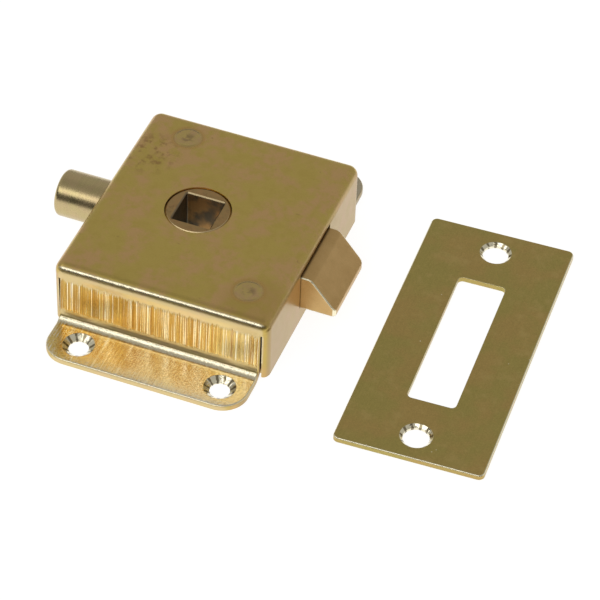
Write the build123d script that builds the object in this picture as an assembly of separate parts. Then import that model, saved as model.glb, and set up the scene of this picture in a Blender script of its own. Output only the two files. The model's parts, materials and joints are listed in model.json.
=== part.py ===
from build123d import *
from math import atan2, cos, degrees, radians, sin, sqrt
import os

# A rim night latch with its strike plate, millimetres.
# Origin: where the spindle axis meets the mounting plane. +X runs to the latch nose, +Y to the
# back flange, +Z away from the door.

# ---- driving dimensions -------------------------------------------------------------------

SHEET = 1.2                # brass sheet of the case and the back plate
SPINDLE = 8.0              # square spindle hole
RUN = 0.08                 # radial clearance of turning and sliding fits

CASE_LEFT = -19.6          # outer faces of the case
CASE_RIGHT = 24.4
CASE_HALF_DEPTH = 25.0
CASE_TOP = 14.0
TOP_BEND = 2.1             # outer bend radius along the top edges and the corners
FOOT_BEND = 1.8            # inner bend radius between wall and flange
WALL_LEAN = 0.55           # how far the front and back walls spring out below the slits
WALL_INSET = 1.45          # how far the front and back walls stop short of the side faces
SLIT_TOP = 11.0            # upper end of the corner slits
SIDE_CORNER = 0.8          # rounding of the lower corners of the side walls

FLANGE_REACH = 10.9        # flange beyond the wall
FLANGE_CORNER = 5.2
FLANGE_EDGE = 0.4          # rolled edge of the flange and of its wall
SCREW_SPACING = 29.0
SCREW_MID_X = 2.8
SCREW_BEYOND_WALL = 6.0
SCREW_HOLE = 3.9
SCREW_SINK = 6.3
SCREW_LAND = 0.25          # straight part of a screw hole under its countersink

PLATE_GAP = 0.1            # back plate to the inside of the walls

HUB_DIAMETER = 13.0        # journals of the follower
HUB_CHAMFER = 0.35
JOURNAL_END = 0.1          # how far the journal ends stay below the outer faces
SQUARE_CORNER = 0.3
SQUARE_EDGE = 0.22         # broken edge of the square at the outer face
BOSS_DIAMETER = 16.0
CAM_RADIUS = 8.5
CAM_BOTTOM = 4.05
CAM_TOP = 9.3
LIFT_RADIUS = 10.5         # base circle of the horn flanks: bolt travel per radian
TURN = 40.0                # full turn of the follower, degrees
HORN_LEAD = 0.1            # how far, in radians, the contact starts behind the hub centre
HORN_BACK = 79.0           # direction of the back of a horn, degrees
LOCK_RADIUS = 9.8          # rim of the locking sector
SECTOR = (110, 238)        # from and to, degrees
NOTCH_ROOT = 6.3
NOTCH_PLAY = 0.1

NOSE_HALF_WIDTH = 7.75     # latch head
NOSE_BOTTOM = 3.87
NOSE_TOP = 11.6
NOSE_FLAT = 2.05           # level part outside the case
NOSE_REACH = 7.2
NOSE_TIP_TOP = 5.2
NOSE_INNER_END = 16.2
NOSE_INNER_CHAMFER = 2.0
NOSE_RIDGE = 1.5           # rounding between the level part and the bevel
NOSE_TIP_CORNER = 0.9
NOSE_EDGE = 0.3
NOSE_GAP = 0.2             # play of the head in its window
NOSE_WINDOW_TOP = 12.3

YOKE_BOTTOM = 1.35
YOKE_INNER = 8.2           # half width of the gap round the hub
YOKE_OUTER = 13.0
YOKE_RIVET = 2.5
YOKE_RIVET_X = 19.7
YOKE_RIVET_Y = 4.5
YOKE_RIVET_TOP = 8.0
WINDOW_GAP = 0.37          # left between the boss and the yoke with the bolt drawn in
LUG_INNER = 9.9
LUG_OUTER = 13.8
LUG_TOP = 9.2
LUG_THICKNESS = 2.0

SPRING_DIAMETER = 5.2
SPRING_WIRE = 0.6
SPRING_TURNS = 8
SPRING_HEIGHT = 6.3
PEG_DIAMETER = 3.6
PEG_LENGTH = 4.0
PEG_TENON = 2.0

PIN_DIAMETER = 9.5         # locking pin
PIN_Y = 1.5
PIN_Z = 7.2
PIN_END = -29.6
PIN_TRAVEL = 4.2
COLLAR_DIAMETER = 10.3
BLADE_WIDTH = 2.8
BLADE_HEIGHT = 3.4
BLADE_BOTTOM = 5.6
BLADE_TIP = -10.6
COLLAR_THICKNESS = 1.0
STEM_DIAMETER = 6.0
PIN_EDGE = 0.9             # rounding of the outer end

GUIDE_LEFT = -11.9         # pin guide bracket
GUIDE_SHEET = 0.8
GUIDE_HALF = 5.8
GUIDE_TOP = 11.5
GUIDE_GAP_TOP = 2.2        # lower edge between the two feet
GUIDE_FOOT = 4.6
GUIDE_FOOT_IN = 3.0

LEAF = 0.3                 # detent spring
LEAF_WIDTH = 3.2
HUMP_X = -15.75
HUMP_HALF = 1.3
HUMP_TOP = 2.75

SMALL_RIVET = 1.6
RIVET_HEAD = 2.6
RIVET_HEAD_HEIGHT = 0.35

PILLAR_DIAMETER = 5.0
PILLAR_TENON = 3.6
PILLAR_HEAD = 6.0
PILLAR_REAR = (-9.95, 18.85)
PILLAR_FRONT = (17.4, -17.25)
DISH_WIDTH = 4.6
DISH_DEPTH = 0.12

STRIKE_LENGTH = 64.4
STRIKE_WIDTH = 29.3
STRIKE_SHEET = 1.1
STRIKE_CENTRE = (54.65, -2.1)
STRIKE_TURN = 2.2          # degrees, as laid beside the case
STRIKE_CORNER = 1.2
STRIKE_EDGE = 0.3          # rolled upper edge of the plate
SLOT_LENGTH = 34.85
SLOT_WIDTH = 9.6
SLOT_CORNER = 1.0
STRIKE_SPACING = 52.9
STRIKE_HOLE = 5.1
STRIKE_SINK = 6.3

# ---- worked out from the driving dimensions -----------------------------------------------

WALL_IN_LEFT = CASE_LEFT + SHEET
WALL_IN_RIGHT = CASE_RIGHT - SHEET
WALL_IN_Y = CASE_HALF_DEPTH - SHEET
CEILING = CASE_TOP - SHEET
CASE_MID_X = (CASE_LEFT + CASE_RIGHT) / 2
FLANGE_LEFT = CASE_LEFT + WALL_INSET
FLANGE_RIGHT = CASE_RIGHT - WALL_INSET
SCREW_Y = CASE_HALF_DEPTH + SCREW_BEYOND_WALL
BOLT_TRAVEL = LIFT_RADIUS * radians(TURN)
LUG_FACE = -LIFT_RADIUS * HORN_LEAD
LUG_BACK = LUG_FACE - LUG_THICKNESS
SPRING_Y = (LUG_INNER + LUG_OUTER) / 2
BOSS_RADIUS = BOSS_DIAMETER / 2
GUIDE_RIVET_X = GUIDE_LEFT - 0.55 * GUIDE_FOOT
GUIDE_RIVET_Y = (GUIDE_HALF + GUIDE_FOOT_IN) / 2
GUIDE_RIVETS = ((GUIDE_RIVET_X, PIN_Y - GUIDE_RIVET_Y), (GUIDE_RIVET_X, PIN_Y + GUIDE_RIVET_Y))
DETENT_RIVET = (-13.1, PIN_Y)

PARTS = {}


def between(x0, x1, y0, y1, z0, z1):
    """Box given by its six faces."""
    return Pos((x0 + x1) / 2, (y0 + y1) / 2, (z0 + z1) / 2) * Box(x1 - x0, y1 - y0, z1 - z0)


def post(x, y, z0, z1, diameter):
    """Upright cylinder from z0 to z1."""
    return Pos(x, y, (z0 + z1) / 2) * Cylinder(diameter / 2, z1 - z0)


def bar(x0, x1, y, z, diameter):
    """Cylinder lying along X from x0 to x1."""
    return Pos((x0 + x1) / 2, y, z) * Rot(0, 90, 0) * Cylinder(diameter / 2, x1 - x0)


def cone(x, y, z0, z1, lower, upper):
    """Upright cone with the lower diameter at z0 and the upper one at z1."""
    return Pos(x, y, (z0 + z1) / 2) * Cone(lower / 2, upper / 2, z1 - z0)


def keep(name, shape):
    shape.label = name
    PARTS[name] = shape


# ---- case and back plate --------------------------------------------------------------------

def folded_strip():
    """Front wall below the slits with its foot bend and flange, as one bent strip of sheet."""
    wall = -CASE_HALF_DEPTH
    foot = wall - WALL_LEAN
    edge = wall - FLANGE_REACH
    with BuildSketch(Plane.YZ) as section:
        with BuildLine():
            Polyline((wall, SLIT_TOP), (foot, SHEET), (edge, SHEET), (edge, 0), (foot + SHEET, 0),
                     (wall + SHEET, SLIT_TOP), close=True)
        make_face()
        fillet(section.vertices().sort_by_distance((foot, SHEET))[0], FOOT_BEND)
        fillet(section.vertices().sort_by_distance((foot + SHEET, 0))[0], FOOT_BEND + SHEET)
    strip = Pos(FLANGE_LEFT, 0, 0) * extrude(section.sketch, FLANGE_RIGHT - FLANGE_LEFT)
    corners = strip.edges().filter_by(Axis.Z).group_by(Axis.Y)[0]
    strip = fillet(corners, FLANGE_CORNER)
    front_edge = strip.edges().filter_by(Axis.X).sort_by_distance((CASE_MID_X, edge, SHEET))[0]
    return fillet(front_edge, FLANGE_EDGE)


def make_case():
    """One folded sheet: top, side walls, and front and back walls that end in flanges."""
    shell = between(CASE_LEFT, CASE_RIGHT, -CASE_HALF_DEPTH, CASE_HALF_DEPTH, 0, CASE_TOP)
    shell = fillet(shell.edges().filter_by(Axis.Z) + shell.edges().group_by(Axis.Z)[-1], TOP_BEND)
    hollow = between(WALL_IN_LEFT, WALL_IN_RIGHT, -WALL_IN_Y, WALL_IN_Y, -1, CEILING)
    inner_bend = TOP_BEND - SHEET
    shell -= fillet(hollow.edges().filter_by(Axis.Z) + hollow.edges().group_by(Axis.Z)[-1], inner_bend)

    # below the slits' upper ends the side walls stand alone and have rounded lower corners
    for side in (-1, 1):
        y_in, y_out = side * (WALL_IN_Y - inner_bend), side * (CASE_HALF_DEPTH + 1)
        shell -= between(WALL_IN_LEFT, WALL_IN_RIGHT, min(y_in, y_out), max(y_in, y_out), -1, SLIT_TOP)
    side_view = between(CASE_LEFT - 1, CASE_RIGHT + 1, -CASE_HALF_DEPTH, CASE_HALF_DEPTH, 0, CASE_TOP + 1)
    shell &= fillet(side_view.edges().filter_by(Axis.X).group_by(Axis.Z)[0], SIDE_CORNER)

    # front and back walls with their flanges, a slit's width clear of the side walls
    strip = folded_strip()
    shell += strip
    shell += Pos(2 * CASE_MID_X, 0, 0) * Rot(0, 0, 180) * strip

    shell -= post(0, 0, CEILING - 1, CASE_TOP + 1, HUB_DIAMETER + 2 * RUN)
    shell -= bar(CASE_LEFT - 1, WALL_IN_LEFT + 1, PIN_Y, PIN_Z, PIN_DIAMETER + 2 * RUN)
    shell -= between(WALL_IN_RIGHT - 1, CASE_RIGHT + 1, -NOSE_HALF_WIDTH - NOSE_GAP,
                     NOSE_HALF_WIDTH + NOSE_GAP, NOSE_BOTTOM - NOSE_GAP, NOSE_WINDOW_TOP)
    for x in (SCREW_MID_X - SCREW_SPACING / 2, SCREW_MID_X + SCREW_SPACING / 2):
        for y in (-SCREW_Y, SCREW_Y):
            shell -= post(x, y, -1, SHEET, SCREW_HOLE)
            shell -= cone(x, y, SCREW_LAND, SHEET, SCREW_HOLE, SCREW_SINK)
    for x, y in (PILLAR_REAR, PILLAR_FRONT):
        shell -= cone(x, y, CEILING, CASE_TOP, PILLAR_TENON, PILLAR_HEAD)
    return shell


def make_back_plate():
    """Plate inside the walls that carries the lower hub bearing."""
    plate = between(WALL_IN_LEFT + PLATE_GAP, WALL_IN_RIGHT - PLATE_GAP,
                    -WALL_IN_Y + PLATE_GAP, WALL_IN_Y - PLATE_GAP, 0, SHEET)
    plate = fillet(plate.edges().filter_by(Axis.Z), 1.0)
    plate -= post(0, 0, -1, SHEET + 1, HUB_DIAMETER + 2 * RUN)
    for x, y in (PILLAR_REAR, PILLAR_FRONT):
        plate -= cone(x, y, 0, SHEET, PILLAR_HEAD, PILLAR_TENON)
    for x, y in GUIDE_RIVETS + (DETENT_RIVET,):
        plate -= cone(x, y, 0, SHEET, SMALL_RIVET + 0.8, SMALL_RIVET)
    return plate


def make_pillar(place):
    """Shouldered pillar with both tenons peened flush; the outer end is slightly dished."""
    x, y = place
    pillar = post(x, y, SHEET, CEILING, PILLAR_DIAMETER)
    pillar += cone(x, y, CEILING, CASE_TOP, PILLAR_TENON, PILLAR_HEAD)
    pillar += cone(x, y, 0, SHEET, PILLAR_HEAD, PILLAR_TENON)
    dish_radius = (DISH_WIDTH**2 / 4 + DISH_DEPTH**2) / (2 * DISH_DEPTH)
    return pillar - Pos(x, y, CASE_TOP - DISH_DEPTH + dish_radius) * Sphere(dish_radius)


# ---- follower ---------------------------------------------------------------------------------

def flank_point(turn):
    """Where the horn touches the lug after a turn (radians), carried back to the rest position."""
    x, y = -LIFT_RADIUS * (turn + HORN_LEAD), LIFT_RADIUS
    return (x * cos(turn) + y * sin(turn), y * cos(turn) - x * sin(turn))


def make_horn():
    """Horn whose involute flank moves the bolt by the same amount for every degree of turn."""
    flank = [flank_point(radians(TURN) * step / 6) for step in range(7)]
    tip_radius = sqrt(flank[-1][0]**2 + flank[-1][1]**2)
    tip_angle = degrees(atan2(flank[-1][1], flank[-1][0]))
    root = 0.9 * CAM_RADIUS
    back = (cos(radians(HORN_BACK)), sin(radians(HORN_BACK)))
    with BuildSketch() as section:
        with BuildLine():
            Line((LUG_FACE, root), flank[0])
            Spline(flank)
            CenterArc((0, 0), tip_radius, HORN_BACK, tip_angle - HORN_BACK)
            Line((tip_radius * back[0], tip_radius * back[1]), (root * back[0], root * back[1]))
            Line((root * back[0], root * back[1]), (LUG_FACE, root))
        make_face()
    return Pos(0, 0, CAM_BOTTOM) * extrude(section.sketch, CAM_TOP - CAM_BOTTOM)


def make_lock_sector():
    """Rear sector with one notch per locked position: at rest and fully turned either way."""
    with BuildSketch() as section:
        with BuildLine():
            start, end = (radians(a) for a in SECTOR)
            Line((0, 0), (LOCK_RADIUS * cos(start), LOCK_RADIUS * sin(start)))
            CenterArc((0, 0), LOCK_RADIUS, SECTOR[0], SECTOR[1] - SECTOR[0])
            Line((LOCK_RADIUS * cos(end), LOCK_RADIUS * sin(end)), (0, 0))
        make_face()
    return Pos(0, 0, CAM_BOTTOM) * extrude(section.sketch, CAM_TOP - CAM_BOTTOM)


def make_follower():
    hub = post(0, 0, JOURNAL_END, CASE_TOP - JOURNAL_END, HUB_DIAMETER)
    hub = chamfer(hub.edges().filter_by(GeomType.CIRCLE), HUB_CHAMFER)
    hub += post(0, 0, SHEET + 0.05, CEILING - 0.05, BOSS_DIAMETER)
    cam = post(0, 0, CAM_BOTTOM, CAM_TOP, 2 * CAM_RADIUS)
    cam += make_horn()
    cam += mirror(make_horn(), Plane.XZ)
    cam += make_lock_sector()
    follower = hub + (cam - post(0, 0, CAM_BOTTOM - 1, CAM_TOP + 1, BOSS_DIAMETER - 1))
    half = BLADE_WIDTH / 2 + NOTCH_PLAY
    notch = between(-LOCK_RADIUS - 1, -NOTCH_ROOT, PIN_Y - half, PIN_Y + half, CAM_BOTTOM - 0.01, CAM_TOP + 0.01)
    for turn in (0, TURN, -TURN):
        follower -= Rot(0, 0, -turn) * notch
    square = between(-SPINDLE / 2, SPINDLE / 2, -SPINDLE / 2, SPINDLE / 2, -1, CASE_TOP + 1)
    follower -= fillet(square.edges().filter_by(Axis.Z), SQUARE_CORNER)
    square_rim = [e for e in follower.edges().group_by(Axis.Z)[-1] if e.length < SPINDLE]
    return chamfer(square_rim, SQUARE_EDGE)


# ---- sliding bolt -----------------------------------------------------------------------------

def make_latch_head():
    """Nose with its bevel facing away from the door, and the block that slides in the window."""
    ridge_x = CASE_RIGHT + NOSE_FLAT
    tip_x = CASE_RIGHT + NOSE_REACH
    with BuildSketch(Plane.XZ) as section:
        with BuildLine():
            Polyline((NOSE_INNER_END, NOSE_BOTTOM), (tip_x, NOSE_BOTTOM), (tip_x, NOSE_TIP_TOP),
                     (ridge_x, NOSE_TOP), (NOSE_INNER_END, NOSE_TOP), close=True)
        make_face()
    head = extrude(section.sketch, NOSE_HALF_WIDTH, both=True)
    ridge = head.edges().filter_by(Axis.Y).sort_by_distance((ridge_x, 0, NOSE_TOP))[0]
    head = fillet(ridge, NOSE_RIDGE)
    uprights = head.edges().filter_by(Axis.Z).group_by(Axis.X)
    head = fillet(uprights[-1], NOSE_TIP_CORNER)
    inner = head.edges().filter_by(Axis.Z).group_by(Axis.X)[0]
    head = chamfer(inner, NOSE_INNER_CHAMFER)
    sides = [e for e in head.edges() if abs(abs(e.center().Y) - NOSE_HALF_WIDTH) < 0.01]
    upper = [e for e in sides if e.center().X > YOKE_RIVET_X and e.center().Z > NOSE_TIP_TOP]
    head = fillet(upper, NOSE_EDGE)
    for y in (-YOKE_RIVET_Y, YOKE_RIVET_Y):
        head -= post(YOKE_RIVET_X, y, NOSE_BOTTOM - 1, YOKE_RIVET_TOP, YOKE_RIVET)
    return head


def make_yoke():
    """U-shaped plate round the follower, with an upturned lug on each arm."""
    window_end = BOSS_RADIUS + WINDOW_GAP + BOLT_TRAVEL
    plate = between(LUG_BACK, WALL_IN_RIGHT - 0.05, -YOKE_OUTER, YOKE_OUTER, YOKE_BOTTOM, NOSE_BOTTOM)
    plate = fillet(plate.edges().filter_by(Axis.Z).group_by(Axis.X)[-1], 2.0)
    window = between(LUG_BACK - 5, window_end, -YOKE_INNER, YOKE_INNER, 0, NOSE_BOTTOM + 1)
    plate -= fillet(window.edges().filter_by(Axis.Z).group_by(Axis.X)[-1], 3.0)
    for side in (-1, 1):
        y0, y1 = sorted((side * LUG_INNER, side * LUG_OUTER))
        lug = between(LUG_BACK, LUG_FACE, y0, y1, YOKE_BOTTOM, LUG_TOP)
        top = lug.edges().filter_by(Axis.X).group_by(Axis.Z)[-1]
        plate += fillet(top, 0.8)
        plate -= bar(LUG_BACK - 1, LUG_FACE + 1, side * SPRING_Y, SPRING_HEIGHT, PEG_TENON)
        plate -= cone(YOKE_RIVET_X, side * YOKE_RIVET_Y, YOKE_BOTTOM, NOSE_BOTTOM, YOKE_RIVET + 1.4, YOKE_RIVET)
    return plate


def make_yoke_rivet(side):
    y = side * YOKE_RIVET_Y
    rivet = cone(YOKE_RIVET_X, y, YOKE_BOTTOM, NOSE_BOTTOM, YOKE_RIVET + 1.4, YOKE_RIVET)
    return rivet + post(YOKE_RIVET_X, y, NOSE_BOTTOM, YOKE_RIVET_TOP, YOKE_RIVET)


def make_spring_peg(side):
    """Peg that centres a spring on the back of a lug."""
    y = side * SPRING_Y
    peg = bar(LUG_BACK - PEG_LENGTH, LUG_BACK, y, SPRING_HEIGHT, PEG_DIAMETER)
    peg = chamfer(peg.edges().filter_by(GeomType.CIRCLE).sort_by(Axis.X)[0], 0.6)
    return peg + bar(LUG_BACK, LUG_FACE - 0.1, y, SPRING_HEIGHT, PEG_TENON)


def make_spring(side):
    """Compression spring between the left wall and a lug."""
    start = WALL_IN_LEFT + SPRING_WIRE / 2 + 0.02
    length = LUG_BACK - SPRING_WIRE / 2 - 0.02 - start
    radius = (SPRING_DIAMETER - SPRING_WIRE) / 2
    path = Helix(length / SPRING_TURNS, length, radius)
    wire = path ^ 0
    coil = sweep(wire * Circle(SPRING_WIRE / 2), path=path, is_frenet=True)
    return Pos(start, side * SPRING_Y, SPRING_HEIGHT) * Rot(0, 90, 0) * coil


# ---- locking pin --------------------------------------------------------------------------------

def make_locking_pin():
    """Round button, inner collar that stops it in the case wall, and a flat locking blade."""
    collar_left = WALL_IN_LEFT + 0.05
    collar_right = collar_left + COLLAR_THICKNESS
    stem_end = GUIDE_LEFT - PIN_TRAVEL - 0.1
    button = bar(PIN_END, collar_left, PIN_Y, PIN_Z, PIN_DIAMETER)
    button = fillet(button.edges().filter_by(GeomType.CIRCLE).sort_by(Axis.X)[0], PIN_EDGE)
    collar = bar(collar_left, collar_right, PIN_Y, PIN_Z, COLLAR_DIAMETER)
    pin = button + chamfer(collar.edges().filter_by(GeomType.CIRCLE), 0.2)
    pin += bar(collar_right, stem_end, PIN_Y, PIN_Z, STEM_DIAMETER)
    blade = between(stem_end, BLADE_TIP, PIN_Y - BLADE_WIDTH / 2, PIN_Y + BLADE_WIDTH / 2,
                    BLADE_BOTTOM, BLADE_BOTTOM + BLADE_HEIGHT)
    return pin + chamfer(blade.edges().filter_by(Axis.Z).group_by(Axis.X)[-1], 0.5)


def make_pin_guide():
    """Upright bracket with a slot for the blade, standing on two feet."""
    wall = between(GUIDE_LEFT, GUIDE_LEFT + GUIDE_SHEET, PIN_Y - GUIDE_HALF, PIN_Y + GUIDE_HALF,
                   GUIDE_GAP_TOP, GUIDE_TOP)
    wall = fillet(wall.edges().filter_by(Axis.X).group_by(Axis.Z)[-1], 1.5)
    for side in (-1, 1):
        y0, y1 = sorted((PIN_Y + side * GUIDE_FOOT_IN, PIN_Y + side * GUIDE_HALF))
        wall += between(GUIDE_LEFT, GUIDE_LEFT + GUIDE_SHEET, y0, y1, SHEET, GUIDE_GAP_TOP)
        foot = between(GUIDE_LEFT - GUIDE_FOOT, GUIDE_LEFT + GUIDE_SHEET, y0, y1, SHEET, SHEET + GUIDE_SHEET)
        wall += fillet(foot.edges().filter_by(Axis.Z).group_by(Axis.X)[0], 1.0)
    heel = wall.edges().filter_by(Axis.Y).group_by(Axis.Z)[0]
    wall = fillet([e for e in heel if e.center().X > GUIDE_LEFT + 0.1], GUIDE_SHEET - 0.1)
    play = 0.1
    wall -= between(GUIDE_LEFT - 1, GUIDE_LEFT + 2, PIN_Y - BLADE_WIDTH / 2 - play, PIN_Y + BLADE_WIDTH / 2 + play,
                    BLADE_BOTTOM - play, BLADE_BOTTOM + BLADE_HEIGHT + play)
    for x, y in GUIDE_RIVETS:
        wall -= post(x, y, SHEET - 1, SHEET + GUIDE_SHEET + 1, SMALL_RIVET)
    return wall


def make_small_rivet(place, grip_top):
    """Rivet countersunk in the back plate, with a low round head on grip_top."""
    x, y = place
    rivet = cone(x, y, 0, SHEET, SMALL_RIVET + 0.8, SMALL_RIVET)
    rivet += post(x, y, SHEET, grip_top, SMALL_RIVET)
    head = post(x, y, grip_top, grip_top + RIVET_HEAD_HEIGHT, RIVET_HEAD)
    return rivet + fillet(head.edges().filter_by(GeomType.CIRCLE).sort_by(Axis.Z)[-1], RIVET_HEAD_HEIGHT - 0.05)


def make_detent_spring():
    """Leaf with a hump that the collar snaps over."""
    left = WALL_IN_LEFT + 0.4
    right = DETENT_RIVET[0] + 1.3
    with BuildSketch(Plane.XZ) as section:
        with BuildLine() as line:
            Line((left, SHEET), (HUMP_X - HUMP_HALF, SHEET))
            Spline((HUMP_X - HUMP_HALF, SHEET), (HUMP_X, HUMP_TOP - LEAF), (HUMP_X + HUMP_HALF, SHEET),
                   tangents=((1, 0), (1, 0)))
            Line((HUMP_X + HUMP_HALF, SHEET), (right, SHEET))
            Line((right, SHEET), (right, SHEET + LEAF))
            Line((right, SHEET + LEAF), (HUMP_X + HUMP_HALF, SHEET + LEAF))
            Spline((HUMP_X + HUMP_HALF, SHEET + LEAF), (HUMP_X, HUMP_TOP), (HUMP_X - HUMP_HALF, SHEET + LEAF),
                   tangents=((-1, 0), (-1, 0)))
            Line((HUMP_X - HUMP_HALF, SHEET + LEAF), (left, SHEET + LEAF))
            Line((left, SHEET + LEAF), (left, SHEET))
        make_face()
    leaf = Pos(0, DETENT_RIVET[1], 0) * extrude(section.sketch, LEAF_WIDTH / 2, both=True)
    return leaf - post(*DETENT_RIVET, SHEET - 1, SHEET + 1, SMALL_RIVET)


# ---- strike plate -------------------------------------------------------------------------------

def make_strike_plate():
    plate = extrude(RectangleRounded(STRIKE_WIDTH, STRIKE_LENGTH, STRIKE_CORNER), STRIKE_SHEET)
    plate = fillet(plate.edges().group_by(Axis.Z)[-1], STRIKE_EDGE)
    plate -= extrude(RectangleRounded(SLOT_WIDTH, SLOT_LENGTH, SLOT_CORNER), STRIKE_SHEET)
    for y in (-STRIKE_SPACING / 2, STRIKE_SPACING / 2):
        plate -= post(0, y, -1, STRIKE_SHEET + 1, STRIKE_HOLE)
        sink_depth = (STRIKE_SINK - STRIKE_HOLE) / 2
        plate -= cone(0, y, STRIKE_SHEET - sink_depth, STRIKE_SHEET, STRIKE_HOLE, STRIKE_SINK)
    return Pos(*STRIKE_CENTRE, 0) * Rot(0, 0, STRIKE_TURN) * plate


# ---- assembly -----------------------------------------------------------------------------------

keep("case", make_case())
keep("back_plate", make_back_plate())
keep("pillar_rivet_rear", make_pillar(PILLAR_REAR))
keep("pillar_rivet_front", make_pillar(PILLAR_FRONT))
keep("follower", make_follower())
keep("latch_head", make_latch_head())
keep("bolt_yoke", make_yoke())
for end, side in (("front", -1), ("rear", 1)):
    keep("yoke_rivet_" + end, make_yoke_rivet(side))
    keep("spring_peg_" + end, make_spring_peg(side))
    keep("latch_spring_" + end, make_spring(side))
keep("locking_pin", make_locking_pin())
keep("pin_guide", make_pin_guide())
keep("guide_rivet_front", make_small_rivet(GUIDE_RIVETS[0], SHEET + GUIDE_SHEET))
keep("guide_rivet_rear", make_small_rivet(GUIDE_RIVETS[1], SHEET + GUIDE_SHEET))
keep("detent_spring", make_detent_spring())
keep("detent_rivet", make_small_rivet(DETENT_RIVET, SHEET + LEAF))
keep("strike_plate", make_strike_plate())

os.makedirs("parts", exist_ok=True)
for name, shape in PARTS.items():
    export_step(shape, f"parts/{name}.step")
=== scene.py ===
import json
from math import cos, pi, radians, sin, sqrt

import bpy
from mathutils import Matrix, Vector


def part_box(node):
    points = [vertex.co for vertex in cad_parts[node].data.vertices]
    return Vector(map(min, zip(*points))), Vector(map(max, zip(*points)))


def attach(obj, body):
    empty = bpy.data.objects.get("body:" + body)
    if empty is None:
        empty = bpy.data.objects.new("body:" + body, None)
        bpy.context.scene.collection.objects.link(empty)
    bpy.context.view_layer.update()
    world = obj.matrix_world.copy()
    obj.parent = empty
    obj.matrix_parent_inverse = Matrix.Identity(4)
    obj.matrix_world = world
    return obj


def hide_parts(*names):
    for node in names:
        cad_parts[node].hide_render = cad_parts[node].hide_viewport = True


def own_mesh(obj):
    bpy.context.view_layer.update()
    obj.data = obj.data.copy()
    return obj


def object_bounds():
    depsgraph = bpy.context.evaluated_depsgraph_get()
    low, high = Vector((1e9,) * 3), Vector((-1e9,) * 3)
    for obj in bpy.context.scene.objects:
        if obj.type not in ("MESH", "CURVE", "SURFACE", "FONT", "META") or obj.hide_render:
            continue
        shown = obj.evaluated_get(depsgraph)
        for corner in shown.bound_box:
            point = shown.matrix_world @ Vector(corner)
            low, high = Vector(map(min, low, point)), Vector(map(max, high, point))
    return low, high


# Looks of the rim night latch and its strike plate. Lengths are metres, except inside the
# finishes, whose patterns are laid out in millimetres.

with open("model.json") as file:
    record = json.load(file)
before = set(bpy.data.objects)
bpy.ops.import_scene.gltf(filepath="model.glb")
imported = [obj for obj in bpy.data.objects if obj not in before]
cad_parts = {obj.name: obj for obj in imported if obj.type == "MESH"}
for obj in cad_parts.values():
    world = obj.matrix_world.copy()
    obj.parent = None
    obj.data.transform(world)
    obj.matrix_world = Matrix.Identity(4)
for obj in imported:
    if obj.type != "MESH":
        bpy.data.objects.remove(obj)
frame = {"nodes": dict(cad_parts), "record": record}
cad_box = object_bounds()

MM = 0.001

# ---- places taken from the frame, in millimetres ------------------------------------------

CASE_LOW, CASE_HIGH = (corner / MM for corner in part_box("case"))
PLATE_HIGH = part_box("back_plate")[1] / MM
HUB_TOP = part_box("follower")[1].z / MM
CENTRE = (cad_box[0] + cad_box[1]) / 2

SHEET = PLATE_HIGH.z                    # case and back plate are of the same sheet
WALL_Y = PLATE_HIGH.y + SHEET           # outer faces of the front and back walls, to 0.1 mm

PILLARS = [sum(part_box(node), Vector()) / 2 / MM for node in ("pillar_rivet_front", "pillar_rivet_rear")]
RIVET_RADIUS = (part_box("pillar_rivet_front")[1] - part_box("pillar_rivet_front")[0]).x / 2 / MM

MOUNTS = {mount["name"]: mount for mount in frame["record"]["mounts"]}
CASE_SCREWS = MOUNTS["case_screw_holes"]
STRIKE_SCREWS = MOUNTS["strike_screw_holes"]
SINK_RADIUS = 3.15                      # countersinks of the case and of the strike plate
STRIKE_TURN = radians(2.2)              # how the loose strike plate lies to the case
SQUARE_REACH = 5.8                      # just past the corners of the spindle hole


# ---- node helpers ---------------------------------------------------------------------------

class Nodes:
    """Node tree with a few short ways to add nodes; each method returns what they put out."""

    def __init__(self, tree):
        self.tree = tree

    def add(self, kind, **settings):
        node = self.tree.nodes.new(kind)
        for name, value in settings.items():
            setattr(node, name, value)
        return node

    def put(self, socket, value):
        if isinstance(value, bpy.types.NodeSocket):
            self.tree.links.new(value, socket)
        else:
            socket.default_value = value

    def parts(self, vector):
        node = self.add("ShaderNodeSeparateXYZ")
        self.put(node.inputs[0], vector)
        return node.outputs

    def math(self, operation, *values):
        node = self.add("ShaderNodeMath", operation=operation)
        for socket, value in zip(node.inputs, values):
            self.put(socket, value)
        return node.outputs[0]

    def level(self, value, low, high):
        """0 below low, 1 above high and smooth between; low may be the larger one."""
        node = self.add("ShaderNodeMapRange", interpolation_type="SMOOTHSTEP")
        for name, setting in (("Value", value), ("From Min", low), ("From Max", high)):
            self.put(node.inputs[name], setting)
        return node.outputs["Result"]

    def scale(self, value, low, high):
        """Spreads 0 to 1 over low to high."""
        node = self.add("ShaderNodeMapRange")
        for name, setting in (("Value", value), ("To Min", low), ("To Max", high)):
            self.put(node.inputs[name], setting)
        return node.outputs["Result"]

    def both(self, *masks):
        """Where all the masks are 1."""
        result = masks[0]
        for mask in masks[1:]:
            result = self.math("MULTIPLY", result, mask)
        return result

    def length(self, x, y):
        return self.math("SQRT", self.math("ADD", self.both(x, x), self.both(y, y)))


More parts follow.
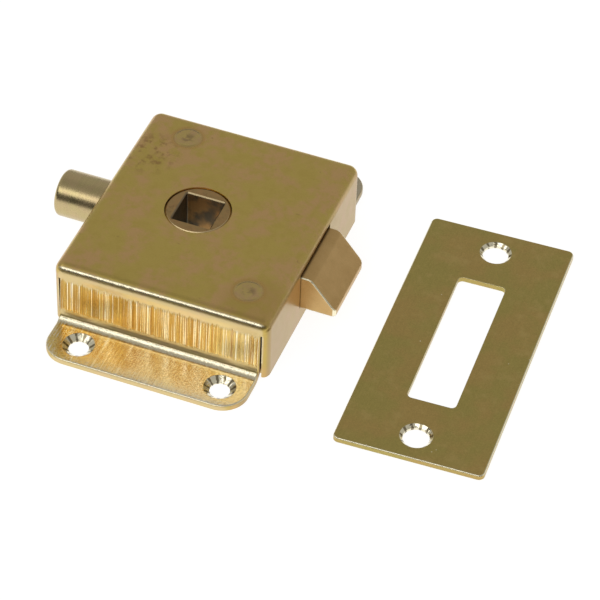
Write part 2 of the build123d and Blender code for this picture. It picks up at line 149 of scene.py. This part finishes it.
class Finish(Nodes):
    """One metal finish."""

    def __init__(self, name):
        self.material = bpy.data.materials.new(name)
        self.material.use_nodes = True
        super().__init__(self.material.node_tree)
        self.shader = self.tree.nodes["Principled BSDF"]
        self.shader.inputs["Metallic"].default_value = 1.0
        coordinates = self.add("ShaderNodeTexCoord")
        self.place = self.stretch((1 / MM, 1 / MM, 1 / MM), coordinates.outputs["Object"])
        self.x, self.y, self.z = self.parts(self.place)
        self.facing_x, self.facing_y, self.facing_z = self.parts(coordinates.outputs["Normal"])

    def stretch(self, factors, vector=None):
        node = self.add("ShaderNodeVectorMath", operation="MULTIPLY")
        self.put(node.inputs[0], self.place if vector is None else vector)
        self.put(node.inputs[1], factors)
        return node.outputs[0]

    def noise(self, per_mm, detail=3.0, roughness=0.5, distortion=0.0, stretch=(1, 1, 1), offset=0.0):
        node = self.add("ShaderNodeTexNoise")
        shift = self.add("ShaderNodeVectorMath", operation="ADD")
        self.put(shift.inputs[0], self.stretch(tuple(per_mm * s for s in stretch)))
        self.put(shift.inputs[1], (offset, offset, offset))
        self.put(node.inputs["Vector"], shift.outputs[0])
        self.put(node.inputs["Scale"], 1.0)
        self.put(node.inputs["Detail"], detail)
        self.put(node.inputs["Roughness"], roughness)
        self.put(node.inputs["Distortion"], distortion)
        return node.outputs["Fac"]

    def specks(self, per_mm, size, stretch=(1, 1, 1)):
        """Sparse round specks, 1 inside them."""
        node = self.add("ShaderNodeTexVoronoi")
        self.put(node.inputs["Vector"], self.stretch(tuple(per_mm * s for s in stretch)))
        self.put(node.inputs["Scale"], 1.0)
        return self.level(node.outputs["Distance"], size, size * 0.4)

    def around(self, centre, half_x=0.0, half_y=0.0, turn=0.0):
        """Distance from, and angle about, the nearest of the upright axes at centre +- the halves."""
        x = self.math("SUBTRACT", self.x, centre[0])
        y = self.math("SUBTRACT", self.y, centre[1])
        along_x = self.math("ADD", self.both(x, cos(turn)), self.both(y, sin(turn)))
        along_y = self.math("SUBTRACT", self.both(y, cos(turn)), self.both(x, sin(turn)))
        across = self.math("SUBTRACT", self.math("ABSOLUTE", along_x), half_x) if half_x else along_x
        beyond = self.math("SUBTRACT", self.math("ABSOLUTE", along_y), half_y) if half_y else along_y
        return self.length(across, beyond), self.math("ARCTAN2", beyond, across)

    def tint(self, mask, under, over):
        node = self.add("ShaderNodeMix", data_type="RGBA")
        self.put(node.inputs["Factor"], mask)
        colours = [socket for socket in node.inputs if socket.type == "RGBA"]
        for socket, colour in zip(colours, (under, over)):
            self.put(socket, colour if isinstance(colour, bpy.types.NodeSocket) else (*colour, 1.0))
        return next(socket for socket in node.outputs if socket.type == "RGBA")

    def shade(self, colour, factor):
        node = self.add("ShaderNodeVectorMath", operation="SCALE")
        self.put(node.inputs[0], colour)
        self.put(node.inputs["Scale"], factor)
        return node.outputs[0]

    def blend(self, mask, under, over):
        """One number that goes from under to over with the mask."""
        rise = self.math("SUBTRACT", over, under)
        return self.math("ADD", under, self.both(mask, rise))

    def rounded(self, radius):
        """Normal that rounds the sharp edges off, and where those edges are."""
        bevel = self.add("ShaderNodeBevel", samples=6)
        self.put(bevel.inputs["Radius"], radius * MM)
        turned = self.add("ShaderNodeVectorMath", operation="DOT_PRODUCT")
        self.put(turned.inputs[0], bevel.outputs["Normal"])
        self.put(turned.inputs[1], self.add("ShaderNodeNewGeometry").outputs["Normal"])
        return bevel.outputs["Normal"], self.level(turned.outputs["Value"], 0.995, 0.90)

    def bump(self, height, depth, normal=None):
        """Relief of depth millimetres for a height from 0 to 1."""
        node = self.add("ShaderNodeBump")
        self.put(node.inputs["Height"], height)
        self.put(node.inputs["Distance"], depth * MM)
        if normal is not None:
            self.put(node.inputs["Normal"], normal)
        return node.outputs["Normal"]

    def finish(self, colour, roughness, normal=None):
        self.put(self.shader.inputs["Base Color"], colour)
        self.put(self.shader.inputs["Roughness"], roughness)
        if normal is not None:
            self.put(self.shader.inputs["Normal"], normal)
        return self.material


# ---- finishes -----------------------------------------------------------------------------

FRESH_BRASS = (0.90, 0.74, 0.40)
PALE_BRASS = (1.0, 0.96, 0.84)
WORN_HIGHLIT_BRASS = (0.95, 0.88, 0.66)
DARK_BRASS = (0.17, 0.13, 0.06)


def polished_sinks(metal, colour, roughness, relief, screws, half_x, half_y, turn=0.0):
    """Countersinks cut bright by the drill, with its chatter marks round the cone."""
    radius, angle = metal.around(Vector(screws["pos_m"]) / MM, half_x, half_y, turn)
    in_rim = metal.level(radius, SINK_RADIUS + 0.12, SINK_RADIUS - 0.05)
    sloping = metal.both(metal.level(metal.facing_z, 0.97, 0.85), metal.level(metal.facing_z, -0.5, -0.2))
    cone = metal.both(in_rim, sloping)
    facets = metal.math("SINE", metal.math("MULTIPLY", angle, 11))
    wander = metal.noise(1.1, detail=2, offset=11)
    streaks = metal.level(metal.math("ADD", facets, metal.scale(wander, -1.2, 1.2)), 0.25, 0.75)
    colour = metal.tint(cone, colour, (0.92, 0.86, 0.66))
    colour = metal.tint(metal.both(cone, streaks, 0.85), colour, DARK_BRASS)
    roughness = metal.blend(cone, roughness, 0.07)
    chatter = metal.both(cone, metal.math("ADD", metal.scale(facets, 0.3, 0.5), wander))
    return colour, roughness, metal.bump(chatter, 0.12, relief)


class CaseFinish(Finish):
    """Satin case whose front and back walls and flanges were polished on a belt."""

    def __init__(self):
        super().__init__("case_brass_satin")
        self.rounding, self.edges = self.rounded(0.12)
        self.patches = self.noise(0.42, detail=5, roughness=0.7, offset=7)
        self.grain = self.noise(5.0, detail=4, roughness=0.75)
        self.lines = self.noise(5.5, detail=3, roughness=0.8, stretch=(1, 0.004, 0.005))
        self.swirls = self.noise(1.2, detail=5, roughness=0.75, distortion=2.5,
                                 stretch=(1, 0.5, 1), offset=23)
        self.speckle = self.noise(2.6, detail=4, roughness=0.8, offset=17)
        self.shoulder, _ = self.around((CASE_HIGH.x - 4, -WALL_Y + 5))
        self.mark_out()

    def mark_out(self):
        """Masks of the outer faces, of the belt's reach on the walls, of the flanges and of the bends."""
        self.outside = self.level(self.math("ABSOLUTE", self.y), WALL_Y - 0.9, WALL_Y - 0.5)
        self.standing = self.level(self.math("ABSOLUTE", self.facing_y), 0.8, 0.95)
        ragged = self.noise(1.3, detail=4, roughness=0.7, stretch=(1, 0, 0))
        under_end = self.math("SUBTRACT", self.z, self.scale(ragged, 8.8, 12.4))
        over_end = self.math("SUBTRACT", self.z, self.scale(ragged, 2.4, 4.4))
        reach = self.both(self.level(under_end, 0.4, -0.4), self.level(over_end, -0.3, 0.6))
        self.belt = self.both(self.outside, reach, self.standing)
        facing_up = self.level(self.facing_z, 0.9, 0.98)
        self.flanges = self.both(self.outside, facing_up, self.level(self.z, 2 * SHEET, 1.2 * SHEET))
        leaning = self.both(self.level(self.facing_z, 0.50, 0.66), self.level(self.facing_z, 0.99, 0.90))
        self.bends = self.both(self.outside, leaning)

    def satin(self):
        """Olive brass with pinkish clouds."""
        clouds = self.noise(0.16, detail=4, roughness=0.6)
        colour = self.tint(self.level(clouds, 0.40, 0.60), (0.615, 0.465, 0.130), (0.670, 0.432, 0.190))
        colour = self.tint(self.level(self.patches, 0.42, 0.68), colour, (0.590, 0.440, 0.120))
        return self.shade(colour, self.scale(self.grain, 0.72, 1.28))

    def stains_and_painted_shade(self, colour):
        """Spots, thickest by the corner over the locking pin, a painted shade by the front corner over the
        latch, and painted shade on the sides.
        """
        spots = self.noise(0.6, detail=3, roughness=0.55, offset=29)
        corner, _ = self.around((CASE_LOW.x + 4.5, PLATE_HIGH.y / 2))
        by_corner = self.both(self.level(corner, 7.5, 3.0), self.level(spots, 0.47, 0.66))
        stains = self.math("MAXIMUM", by_corner, self.level(spots, 0.71, 0.80))
        colour = self.tint(self.both(stains, 0.75), colour, (0.38, 0.22, 0.09))
        # painted shade: darker patch on the top by the front corner over the latch
        colour = self.tint(self.both(self.level(self.shoulder, 9, 4), 0.5), colour, (0.52, 0.36, 0.10))
        for rivet in PILLARS:
            radius, _ = self.around(rivet)
            halo = self.level(radius, RIVET_RADIUS + 0.9, RIVET_RADIUS)
            colour = self.tint(self.both(halo, 0.6), colour, (0.56, 0.35, 0.11))
        # painted shade: the side walls that face along X made darker
        side = self.level(self.math("ABSOLUTE", self.facing_x), 0.7, 0.95)
        return self.tint(self.both(side, 0.65), colour, (0.42, 0.30, 0.17))

    def polish_and_painted_sheen(self, colour):
        """Warm gold where the belt reached, with a painted reflection that makes the walls and flanges paler
        towards the latch.
        """
        warm = self.level(self.noise(0.22, detail=3, offset=19), 0.35, 0.65)
        wall_gold = self.tint(warm, (0.64, 0.41, 0.095), (0.69, 0.48, 0.14))
        # painted reflection: walls paler towards the latch
        wall_gold = self.tint(self.level(self.x, 8, CASE_HIGH.x), wall_gold, (0.80, 0.63, 0.27))
        flange_gold = self.tint(warm, (0.80, 0.55, 0.14), (0.88, 0.67, 0.24))
        # painted reflection: flanges paler towards the latch
        latch_end_sheen = self.level(self.x, CASE_LOW.x + 2, CASE_HIGH.x - 8)
        flange_gold = self.tint(latch_end_sheen, flange_gold, (1.0, 0.97, 0.84))
        gold = self.tint(self.standing, flange_gold, wall_gold)
        colour = self.tint(self.both(self.outside, self.standing, 0.7), colour, (0.78, 0.62, 0.34))
        return self.tint(self.math("MAXIMUM", self.belt, self.flanges), colour, gold)

    def line_walls(self, colour):
        """Upright lines that the belt left on the walls, darkest in the middle."""
        from_middle = self.math("ABSOLUTE", self.math("SUBTRACT", self.x, CASE_SCREWS["pos_m"][0] / MM))
        middle = self.level(from_middle, 12, 4)
        broad_lines = self.noise(1.5, detail=3, roughness=0.6, stretch=(1, 0.008, 0.008), offset=3)
        broad = self.both(self.belt, self.level(broad_lines, 0.56, 0.36))
        dark = self.both(self.belt, self.level(self.lines, 0.50, 0.36), 0.75)
        bright = self.both(self.belt, self.level(self.lines, 0.54, 0.62))
        colour = self.tint(self.both(self.belt, middle, 0.5), colour, (0.50, 0.30, 0.07))
        colour = self.tint(broad, colour, (0.50, 0.28, 0.06))
        colour = self.tint(dark, colour, (0.36, 0.18, 0.025))
        return self.tint(bright, colour, (1.0, 0.96, 0.76))

    def scratch_flanges(self, colour):
        """Dark speckle, bright swirls, and in places the belt's lines."""
        places = self.level(self.noise(0.15, detail=1, offset=3), 0.36, 0.50)
        speckle = self.both(self.flanges, self.level(self.speckle, 0.52, 0.38), 0.7)
        swirls = self.both(self.flanges, self.level(self.swirls, 0.54, 0.62), 0.8)
        lines = self.both(self.flanges, places, self.level(self.lines, 0.50, 0.58))
        colour = self.tint(speckle, colour, (0.56, 0.33, 0.05))
        colour = self.tint(swirls, colour, PALE_BRASS)
        return self.tint(lines, colour, (1.0, 0.97, 0.84))

    def wear_and_painted_highlight(self, colour):
        """Bends and edges worn pale, the bends' pale band also a painted highlight, and the rear flange left
        dull.
        """
        # pale bends and edges: wear, and on the bends a painted highlight where the key light reflects
        worn = self.math("MAXIMUM", self.both(self.outside, self.edges), self.bends)
        colour = self.tint(self.both(worn, 0.9), colour, WORN_HIGHLIT_BRASS)
        rear = self.level(self.y, WALL_Y + 0.5, WALL_Y + 2)
        return self.tint(self.both(rear, 0.7), colour, (0.36, 0.29, 0.17))

    def gloss(self):
        roughness = self.scale(self.patches, 0.27, 0.37)
        roughness = self.blend(self.belt, roughness, 0.18)
        roughness = self.blend(self.bends, roughness, 0.25)
        return self.blend(self.flanges, roughness, self.scale(self.swirls, 0.07, 0.20))

    def relief(self):
        """Grain, beads on the bends, the belt's lines, waves in the sheet and the crown of the top."""
        relief = self.bump(self.grain, 0.004, self.rounding)
        beads = self.noise(2.2, detail=3, roughness=0.7, stretch=(1, 0.6, 0.6), offset=13)
        relief = self.bump(self.both(self.outside, beads), 0.03, relief)
        relief = self.bump(self.both(self.bends, beads), 0.05, relief)
        relief = self.bump(self.crease(), 0.07, relief)
        fine_lines = self.noise(9, detail=3, roughness=0.7, stretch=(1, 0.004, 0.004), offset=5)
        relief = self.bump(self.both(self.belt, self.math("ADD", self.lines, fine_lines)), 0.06, relief)
        relief = self.bump(self.both(self.flanges, self.speckle), 0.012, relief)
        relief = self.bump(self.noise(0.07, detail=1), 0.12, relief)
        crown_y = self.level(self.math("ABSOLUTE", self.y), WALL_Y - 0.5, WALL_Y - 6.5)
        crown_x = self.level(self.x, CASE_HIGH.x - 1.5, CASE_HIGH.x - 6.0)
        return self.bump(self.both(crown_y, crown_x), 0.17, relief)

    def crease(self):
        """Slanting crease that runs out at the front corner by the latch."""
        from_side = self.both(self.math("SUBTRACT", self.x, CASE_HIGH.x), 0.76)
        from_front = self.both(self.math("ADD", self.y, WALL_Y - 1), 0.65)
        off_crease = self.math("ABSOLUTE", self.math("ADD", from_side, from_front))
        return self.both(self.level(off_crease, 1.0, 0.1), self.level(self.shoulder, 6, 3))


def case_brass():
    metal = CaseFinish()
    colour = metal.polish_and_painted_sheen(metal.stains_and_painted_shade(metal.satin()))
    colour = metal.wear_and_painted_highlight(metal.scratch_flanges(metal.line_walls(colour)))
    spacing = CASE_SCREWS["dims"]
    return metal.finish(*polished_sinks(metal, colour, metal.gloss(), metal.relief(), CASE_SCREWS,
                                        spacing["spacing_x_mm"] / 2, spacing["spacing_y_mm"] / 2))


def plate_brass():
    metal = Finish("plate_brass_mill")
    clouds = metal.noise(0.2, detail=5, roughness=0.65)
    rolled = metal.noise(2.5, detail=3, roughness=0.7, stretch=(1, 0.05, 1))
    colour = metal.tint(metal.level(clouds, 0.35, 0.65), (0.62, 0.44, 0.15), (0.58, 0.40, 0.17))
    colour = metal.shade(colour, metal.scale(rolled, 0.9, 1.1))
    return metal.finish(colour, metal.scale(clouds, 0.25, 0.4), metal.bump(rolled, 0.006))


def hub_brass():
    """Turned face with rings, brighter rim, grease down the spindle hole, and painted shade on the hole's
    walls and square edge that face along +X.
    """
    metal = Finish("hub_brass_turned")
    radius, _ = metal.around((0, 0))
    clouds = metal.noise(0.5, detail=4, roughness=0.6)
    colour = metal.tint(metal.level(clouds, 0.35, 0.7), (0.40, 0.27, 0.115), (0.46, 0.28, 0.12))
    dirt = metal.level(metal.noise(1.4, detail=4, roughness=0.7), 0.5, 0.72)
    colour = metal.tint(metal.both(dirt, 0.5), colour, (0.18, 0.11, 0.06))

    upright = metal.level(metal.facing_z, 0.5, 0.2)
    inside = metal.both(upright, metal.level(radius, SQUARE_REACH + 0.1, SQUARE_REACH - 0.1))
    grease = metal.level(metal.noise(0.3, detail=2, roughness=0.4, offset=9), 0.40, 0.62)
    colour = metal.tint(inside, colour, metal.tint(grease, (0.54, 0.32, 0.12), (0.17, 0.14, 0.09)))
    shaded = metal.both(inside, metal.level(metal.facing_x, 0.2, 0.5))
    colour = metal.tint(shaded, colour, (0.12, 0.11, 0.075))

    at_top = metal.level(metal.z, HUB_TOP - 0.5, HUB_TOP - 0.3)
    rim = metal.both(metal.level(metal.facing_z, 0.95, 0.85), at_top)
    square_edge = metal.both(rim, metal.level(radius, SQUARE_REACH + 0.2, SQUARE_REACH))
    # painted shade: the square edge that faces along +X made darker
    shaded_square_edge = metal.both(square_edge, metal.level(metal.facing_x, 0.1, 0.3))
    colour = metal.tint(rim, colour, (0.66, 0.52, 0.29))
    colour = metal.tint(square_edge, colour, (0.38, 0.30, 0.17))
    colour = metal.tint(shaded_square_edge, colour, (0.26, 0.20, 0.12))

    rings = metal.math("SINE", metal.math("MULTIPLY", radius, 2 * pi / 0.22))
    relief = metal.bump(rings, 0.003, metal.bump(metal.noise(5, detail=3), 0.006))
    return metal.finish(colour, metal.blend(inside, metal.scale(clouds, 0.24, 0.38), 0.5), relief)


def nose_brass():
    """Matte casting, its long edges rubbed bright, and a painted highlight on the fillets along its flanks.
    """
    metal = Finish("nose_brass_matte")
    rounding, sharp = metal.rounded(0.35)
    clouds = metal.noise(0.3, detail=4, roughness=0.6)
    sand = metal.noise(7, detail=4, roughness=0.75)
    colour = metal.tint(metal.level(clouds, 0.3, 0.7), (0.58, 0.375, 0.150), (0.64, 0.425, 0.180))
    colour = metal.shade(colour, metal.scale(sand, 0.72, 1.28))
    flank = metal.math("ABSOLUTE", metal.facing_y)
    highlit_fillets = metal.both(metal.level(flank, 0.1, 0.3), metal.level(flank, 0.98, 0.9))
    # pale edges: rubbed bright, and on the flank fillets a painted highlight
    edges = metal.math("MAXIMUM", sharp, highlit_fillets)
    colour = metal.tint(edges, colour, (1.0, 0.93, 0.68))
    roughness = metal.blend(edges, metal.scale(clouds, 0.3, 0.4), 0.28)
    return metal.finish(colour, roughness, metal.bump(sand, 0.012, rounding))


def pin_brass():
    metal = Finish("pin_brass_turned")
    rounding, edges = metal.rounded(0.2)
    turned = metal.noise(5, detail=3, roughness=0.7, stretch=(1, 0.02, 0.02))
    clouds = metal.noise(0.45, detail=4, roughness=0.6)
    colour = metal.tint(metal.level(clouds, 0.35, 0.65), (0.55, 0.45, 0.225), (0.57, 0.44, 0.24))
    colour = metal.shade(colour, metal.scale(turned, 0.88, 1.12))
    colour = metal.tint(edges, colour, FRESH_BRASS)
    return metal.finish(colour, metal.scale(clouds, 0.22, 0.33), metal.bump(turned, 0.03, rounding))


def strike_brass():
    """Rolled sheet with worn patches, a few nicks and a pale upper edge that is partly worn and partly a
    painted highlight.
    """
    metal = Finish("strike_brass_satin")
    rounding, sharp = metal.rounded(0.15)
    clouds = metal.noise(0.11, detail=4, roughness=0.6, offset=5)
    rolled = metal.noise(3, detail=4, roughness=0.7, stretch=(1, 0.06, 1))
    grain = metal.noise(4, detail=4, roughness=0.75, offset=9)
    colour = metal.tint(metal.level(clouds, 0.38, 0.62), (0.460, 0.372, 0.115), (0.515, 0.365, 0.125))
    colour = metal.shade(colour, metal.scale(grain, 0.66, 1.34))
    colour = metal.shade(colour, metal.scale(rolled, 0.92, 1.08))
    worn = metal.level(metal.noise(0.35, detail=5, roughness=0.7, offset=57), 0.50, 0.70)
    colour = metal.tint(metal.both(worn, 0.5), colour, (0.60, 0.45, 0.17))
    nicked = metal.level(metal.noise(0.3, detail=2, offset=41), 0.55, 0.62)
    colour = metal.tint(metal.both(nicked, metal.specks(0.5, 0.09)), colour, (0.95, 0.86, 0.60))
    # pale rolled edge: wear, and a painted highlight where the key light reflects
    highlit_rolled_edge = metal.both(metal.level(metal.facing_z, 0.25, 0.45), metal.level(metal.facing_z, 0.99, 0.93))
    edges = metal.math("MAXIMUM", sharp, highlit_rolled_edge)
    colour = metal.tint(metal.both(edges, 0.9), colour, (0.96, 0.89, 0.66))
    roughness = metal.blend(edges, metal.scale(clouds, 0.26, 0.36), 0.2)
    relief = metal.bump(metal.noise(8, detail=3), 0.003, rounding)
    half_spacing = STRIKE_SCREWS["dims"]["pcd_mm"] / 2
    return metal.finish(*polished_sinks(metal, colour, roughness, relief, STRIKE_SCREWS,
                                        0.0, half_spacing, STRIKE_TURN))


def rivet_brass():
    """Ends hammered flush with the sheet, their rims a little below it."""
    metal = Finish("rivet_brass_peened")
    clouds = metal.noise(0.5, detail=4, roughness=0.6)
    colour = metal.tint(metal.level(clouds, 0.4, 0.65), (0.600, 0.450, 0.165), (0.590, 0.400, 0.195))
    relief = metal.bump(clouds, 0.03)
    dirt = metal.level(metal.noise(0.9, detail=3, offset=3), 0.4, 0.6)
    for rivet in PILLARS:
        radius, _ = metal.around(rivet)
        smudge = metal.both(metal.level(radius, 1.8, 0.7), dirt)
        this_one = metal.level(radius, RIVET_RADIUS + 2, RIVET_RADIUS + 1)
        seam = metal.both(metal.level(radius, RIVET_RADIUS - 0.5, RIVET_RADIUS - 0.1), this_one)
        colour = metal.tint(metal.both(smudge, 0.75), colour, (0.32, 0.22, 0.11))
        colour = metal.tint(metal.both(seam, 0.5), colour, (0.50, 0.30, 0.10))
        hammered = metal.level(radius, RIVET_RADIUS - 0.3, RIVET_RADIUS - 0.7)
        relief = metal.bump(metal.both(this_one, hammered), 0.16, relief)
    return metal.finish(colour, metal.scale(clouds, 0.20, 0.30), relief)


def steel(name, colour, smoothest, roughest, stretch):
    metal = Finish(name)
    drawn = metal.noise(4, detail=3, roughness=0.7, stretch=stretch)
    shade = metal.shade(colour, metal.scale(drawn, 0.85, 1.1))
    return metal.finish(shade, metal.scale(drawn, smoothest, roughest), metal.bump(drawn, 0.005))


FINISHES = {
    "case_brass": case_brass(),
    "plate_brass": plate_brass(),
    "hub_brass": hub_brass(),
    "nose_brass": nose_brass(),
    "pin_brass": pin_brass(),
    "strike_brass": strike_brass(),
    "rivet_brass": rivet_brass(),
    "rivet_steel": steel("rivet_steel_bright", (0.60, 0.60, 0.58), 0.25, 0.4, (1, 1, 1)),
    "spring_steel": steel("spring_steel_drawn", (0.52, 0.52, 0.54), 0.22, 0.36, (0.2, 1, 1)),
}

for piece in frame["nodes"].values():
    for slot in piece.material_slots:
        slot.material = FINISHES[slot.material.name]


# ---- springs, drawn in place of the CAD springs ---------------------------------------------

SPRING_WIRE = 0.6 * MM
SPRING_TURNS = 9
STEPS_PER_TURN = 28
WIRE_SIDES = 10
END_CLOSING = 0.55                      # how far the end turns are closed up, 1 being flat

LEAF_SHEET = 0.3 * MM
LEAF_CORNER = 0.8 * MM
LEAF_HUMP_HALF = 1.3 * MM
LEAF_STEPS = 62


def skin(name, sections, slot):
    """Closed solid through the sections, whose points turn right-handed about the way along."""
    count = len(sections[0])
    points = [point for section in sections for point in section]
    faces = [tuple(reversed(range(count)))]
    for near in range(0, len(points) - count, count):
        for side in range(count):
            after = (side + 1) % count
            faces.append((near + side, near + after, near + count + after, near + count + side))
    faces.append(tuple(range(len(points) - count, len(points))))
    mesh = bpy.data.meshes.new(name)
    mesh.from_pydata(points, [], faces)
    mesh.materials.append(FINISHES[slot])
    piece = bpy.data.objects.new(name, mesh)
    bpy.context.scene.collection.objects.link(piece)
    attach(piece, "case")
    return piece


def coil(name, low, high):
    """Compression spring along X that fills the box, its end turns closed up."""
    centre = (low + high) / 2
    radius = (high.y - low.y) / 2 - SPRING_WIRE / 2
    start, end = low.x + SPRING_WIRE / 2, high.x - SPRING_WIRE / 2
    sections = []
    for step in range(SPRING_TURNS * STEPS_PER_TURN + 1):
        share = step / (SPRING_TURNS * STEPS_PER_TURN)
        closed_up = share - sin(2 * pi * share) / (2 * pi) * END_CLOSING
        turn = 2 * pi * SPRING_TURNS * share
        outward = Vector((0, cos(turn), sin(turn)))
        middle = Vector((start + (end - start) * closed_up, centre.y, centre.z)) + radius * outward
        round_wire = []
        for side in range(WIRE_SIDES):
            angle = 2 * pi * side / WIRE_SIDES
            off_middle = cos(angle) * outward - sin(angle) * Vector((1, 0, 0))
            round_wire.append(middle + SPRING_WIRE / 2 * off_middle)
        sections.append(round_wire)
    spring = skin(name, sections, "spring_steel")
    spring.data.shade_smooth()
    return spring


def humped_leaf(name, low, high, hump_x):
    """Flat leaf along X that fills the box, with rounded ends and one hump."""
    sections = []
    for step in range(LEAF_STEPS + 1):
        x = low.x + (high.x - low.x) * step / LEAF_STEPS
        into_corner = max(0.0, LEAF_CORNER - min(x - low.x, high.x - x))
        inset = LEAF_CORNER - sqrt(LEAF_CORNER ** 2 - into_corner ** 2)
        off_hump = min(abs(x - hump_x) / LEAF_HUMP_HALF, 1.0)
        under = low.z + (high.z - low.z - LEAF_SHEET) * (1 + cos(pi * off_hump)) / 2
        over = under + LEAF_SHEET
        y0, y1 = low.y + inset, high.y - inset
        sections.append([(x, y0, under), (x, y1, under), (x, y1, over), (x, y0, over)])
    return skin(name, sections, "spring_steel")


for side in ("front", "rear"):
    node = f"latch_spring_{side}"
    low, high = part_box(node)
    spring = coil(f"coil_{side}", low, high)
    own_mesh(spring)
    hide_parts(node)

low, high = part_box("detent_spring")
cad_leaf = frame["nodes"]["detent_spring"]
cad_points = [cad_leaf.matrix_world @ vertex.co for vertex in cad_leaf.data.vertices]
hump = max(cad_points, key=lambda point: point.z)
leaf = humped_leaf("leaf", low, high, hump.x)
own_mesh(leaf)
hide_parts("detent_spring")


# ---- floor, light and camera --------------------------------------------------------------

FLOOR_HALF = 3.0
FLOOR_DROP = 0.05 * MM                  # the table lies this far under the object
FLOOR_GLOW, FLOOR_GLOW_FAR = 0.90, 0.15
FLOOR_NEAR, FLOOR_FAR = 0.14, 0.30      # where the glow begins and ends to fall off

STUDIO_COLOUR = (1.0, 0.98, 0.93, 1)
STUDIO_SIDES, STUDIO_OVERHEAD = 0.45, 0.34
STUDIO_FRONT = 0.12                     # share of the light that comes from low down in front

KEY_DIRECTION = Vector((-0.24, -0.676, 0.695))
KEY_DISTANCE = 0.9
KEY_WIDTH, KEY_HEIGHT = 1.4, 0.34
KEY_RADIANCE = 1.35

CAMERA_AZIMUTH = radians(19.53)
CAMERA_ELEVATION = radians(44.06)
CAMERA_ROLL = radians(2.26)
CAMERA_DISTANCE = 0.565
CAMERA_LENS = 177.5
AIM = CENTRE + Vector((4.39, -9.04, 0.12)) * MM


def make_floor():
    """White table that falls off to grey away from the object."""
    mesh = bpy.data.meshes.new("floor")
    signs = ((-1, -1), (1, -1), (1, 1), (-1, 1))
    corners = [(x * FLOOR_HALF, y * FLOOR_HALF, -FLOOR_DROP) for x, y in signs]
    mesh.from_pydata(corners, [], [(0, 1, 2, 3)])
    material = bpy.data.materials.new("floor_white")
    material.use_nodes = True
    nodes = Nodes(material.node_tree)
    shader = material.node_tree.nodes["Principled BSDF"]
    place = nodes.parts(nodes.add("ShaderNodeTexCoord").outputs["Object"])
    away = nodes.length(place[0], place[1])
    shader.inputs["Base Color"].default_value = (0.30, 0.30, 0.30, 1)
    shader.inputs["Roughness"].default_value = 1.0
    shader.inputs["Specular IOR Level"].default_value = 0.0
    shader.inputs["Emission Color"].default_value = (1, 1, 1, 1)
    glow = nodes.scale(nodes.level(away, FLOOR_FAR, FLOOR_NEAR), FLOOR_GLOW_FAR, FLOOR_GLOW)
    nodes.put(shader.inputs["Emission Strength"], glow)
    mesh.materials.append(material)
    floor = bpy.data.objects.new("floor", mesh)
    bpy.context.scene.collection.objects.link(floor)


def make_world():
    """Grey studio, a little darker overhead and dark low down in front, where the photographer stands."""
    world = bpy.data.worlds.new("studio")
    bpy.context.scene.world = world
    world.use_nodes = True
    nodes = Nodes(world.node_tree)
    direction = nodes.parts(nodes.add("ShaderNodeTexCoord").outputs["Generated"])
    overhead = nodes.level(direction[2], 0.78, 0.97)
    front = nodes.level(direction[1], -0.10, -0.45)
    low = nodes.level(direction[2], 0.62, 0.50)
    light = nodes.scale(overhead, STUDIO_SIDES, STUDIO_OVERHEAD)
    light = nodes.both(light, nodes.scale(nodes.both(front, low), 1.0, STUDIO_FRONT))
    background = world.node_tree.nodes["Background"]
    background.inputs["Color"].default_value = STUDIO_COLOUR
    nodes.put(background.inputs["Strength"], light)


def make_softbox():
    light = bpy.data.lights.new("key_softbox", "AREA")
    light.shape = "RECTANGLE"
    light.size = KEY_WIDTH
    light.size_y = KEY_HEIGHT
    light.energy = KEY_RADIANCE * pi * KEY_WIDTH * KEY_HEIGHT
    box = bpy.data.objects.new("key_softbox", light)
    bpy.context.scene.collection.objects.link(box)
    towards = KEY_DIRECTION.normalized()
    box.location = CENTRE + KEY_DISTANCE * towards
    box.rotation_mode = "QUATERNION"
    box.rotation_quaternion = towards.to_track_quat("Z", "Y")


def make_camera():
    """Camera that looks at the aim point from its azimuth and elevation, turned by its roll."""
    flat = cos(CAMERA_ELEVATION)
    back = Vector((sin(CAMERA_AZIMUTH) * flat, -cos(CAMERA_AZIMUTH) * flat, sin(CAMERA_ELEVATION)))
    level = Vector((cos(CAMERA_AZIMUTH), sin(CAMERA_AZIMUTH), 0))
    upright = back.cross(level)
    right = cos(CAMERA_ROLL) * level + sin(CAMERA_ROLL) * upright
    up = back.cross(right)
    data = bpy.data.cameras.new("camera")
    data.lens = CAMERA_LENS
    data.sensor_width = 36.0
    camera = bpy.data.objects.new("camera", data)
    bpy.context.scene.collection.objects.link(camera)
    turned = Matrix((right, up, back)).transposed().to_4x4()
    camera.matrix_world = Matrix.Translation(AIM + CAMERA_DISTANCE * back) @ turned
    bpy.context.scene.camera = camera


make_floor()
make_world()
make_softbox()
make_camera()
bpy.context.scene.view_settings.view_transform = "Standard"
